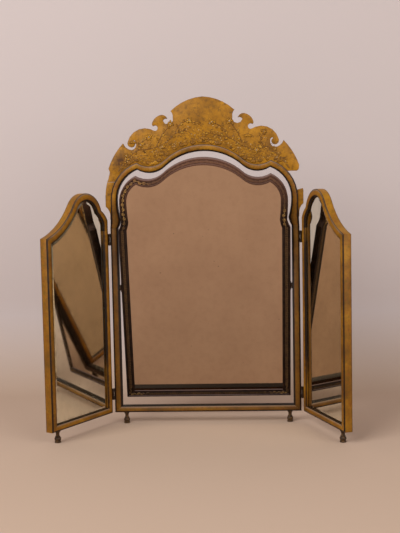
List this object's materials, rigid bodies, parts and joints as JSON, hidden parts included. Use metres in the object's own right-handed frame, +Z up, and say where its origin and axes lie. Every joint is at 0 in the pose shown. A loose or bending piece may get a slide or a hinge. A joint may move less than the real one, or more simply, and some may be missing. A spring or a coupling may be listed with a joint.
{
  "type": "table mirror",
  "caption": "Triple dressing mirror for a table: arched tilting centre glass in a lacquered stand with a scrolled crest, hinged arched wings and turned feet.",
  "frame": {"origin": "on the floor, under the middle of the whole mirror's box with the wings and the glass as pictured", "axes": "+Z up, +Y from the viewer towards the back, +X to the viewer's right, along the centre frame"},
  "size_m": [0.687, 0.2938, 0.7916],
  "materials": {
    "gold_lacquer": "old gold and ochre lacquer over wood, worn to dark brown along its edges",
    "dark_carved_wood": "dark brown carved wood with worn gilding",
    "foot_lacquer": "turned wood, worn brown gilding",
    "mirror_glass": "aged silvered glass with small dark specks",
    "backboard_wood": "plain thin board, unvarnished",
    "dark_iron": "dark iron with a dull surface",
    "leather_washer": "dark pressed leather"
  },
  "bodies": {
    "stand": {"stand_stile_left": "gold_lacquer", "stand_stile_right": "gold_lacquer", "stand_bottom_rail": "gold_lacquer", "stand_arch_crown": "gold_lacquer", "stand_arch_left": "gold_lacquer", "stand_arch_right": "gold_lacquer", "crest_board": "gold_lacquer", "crest_ear_left": "gold_lacquer", "crest_ear_right": "gold_lacquer", "crest_screws": "dark_iron", "stand_foot_left": "foot_lacquer", "stand_foot_right": "foot_lacquer", "pivot_plate_left": "dark_iron", "pivot_plate_right": "dark_iron", "pivot_pin_left": "dark_iron", "pivot_pin_right": "dark_iron", "pivot_washer_left": "leather_washer", "pivot_washer_right": "leather_washer", "pivot_plate_screws": "dark_iron", "hinge_left_upper_stand_leaf": "dark_iron", "hinge_left_upper_pin": "dark_iron", "hinge_left_lower_stand_leaf": "dark_iron", "hinge_left_lower_pin": "dark_iron", "hinge_right_upper_stand_leaf": "dark_iron", "hinge_right_upper_pin": "dark_iron", "hinge_right_lower_stand_leaf": "dark_iron", "hinge_right_lower_pin": "dark_iron", "hinge_screws_stand": "dark_iron"},
    "swing_mirror": {"swing_stile_left": "dark_carved_wood", "swing_stile_right": "dark_carved_wood", "swing_bottom_rail": "dark_carved_wood", "swing_arch_crown": "dark_carved_wood", "swing_arch_left": "dark_carved_wood", "swing_arch_right": "dark_carved_wood", "centre_glass": "mirror_glass", "centre_backboard": "backboard_wood", "centre_backboard_pins": "dark_iron", "pivot_socket_left": "dark_iron", "pivot_socket_right": "dark_iron", "pivot_socket_screws": "dark_iron"},
    "wing_left": {"wing_left_hinge_stile": "gold_lacquer", "wing_left_outer_stile": "gold_lacquer", "wing_left_bottom_rail": "gold_lacquer", "wing_left_arch": "gold_lacquer", "wing_left_glass": "mirror_glass", "wing_left_backboard": "backboard_wood", "wing_left_backboard_pins": "dark_iron", "wing_left_foot": "foot_lacquer", "hinge_left_upper_wing_leaf": "dark_iron", "hinge_left_lower_wing_leaf": "dark_iron", "hinge_screws_wing_left": "dark_iron"},
    "wing_right": {"wing_right_hinge_stile": "gold_lacquer", "wing_right_outer_stile": "gold_lacquer", "wing_right_bottom_rail": "gold_lacquer", "wing_right_arch": "gold_lacquer", "wing_right_glass": "mirror_glass", "wing_right_backboard": "backboard_wood", "wing_right_backboard_pins": "dark_iron", "wing_right_foot": "foot_lacquer", "hinge_right_upper_wing_leaf": "dark_iron", "hinge_right_lower_wing_leaf": "dark_iron", "hinge_screws_wing_right": "dark_iron"}
  },
  "joints": [
    {"name": "wing_left_hinge", "type": "hinge", "parent": "stand", "child": "wing_left", "pos_m": [-0.21408, 0.06575, 0.2635], "axis": [0, 0, 1], "range_deg": [-68.6, 34.4]},
    {"name": "wing_right_hinge", "type": "hinge", "parent": "stand", "child": "wing_right", "pos_m": [0.24652, 0.06575, 0.2635], "axis": [0, 0, -1], "range_deg": [-78, 25]},
    {"name": "mirror_tilt", "type": "hinge", "parent": "stand", "child": "swing_mirror", "pos_m": [0.01622, 0.076, 0.3345], "axis": [1, 0, 0], "range_deg": [-37.5, 12.5]}
  ]
}
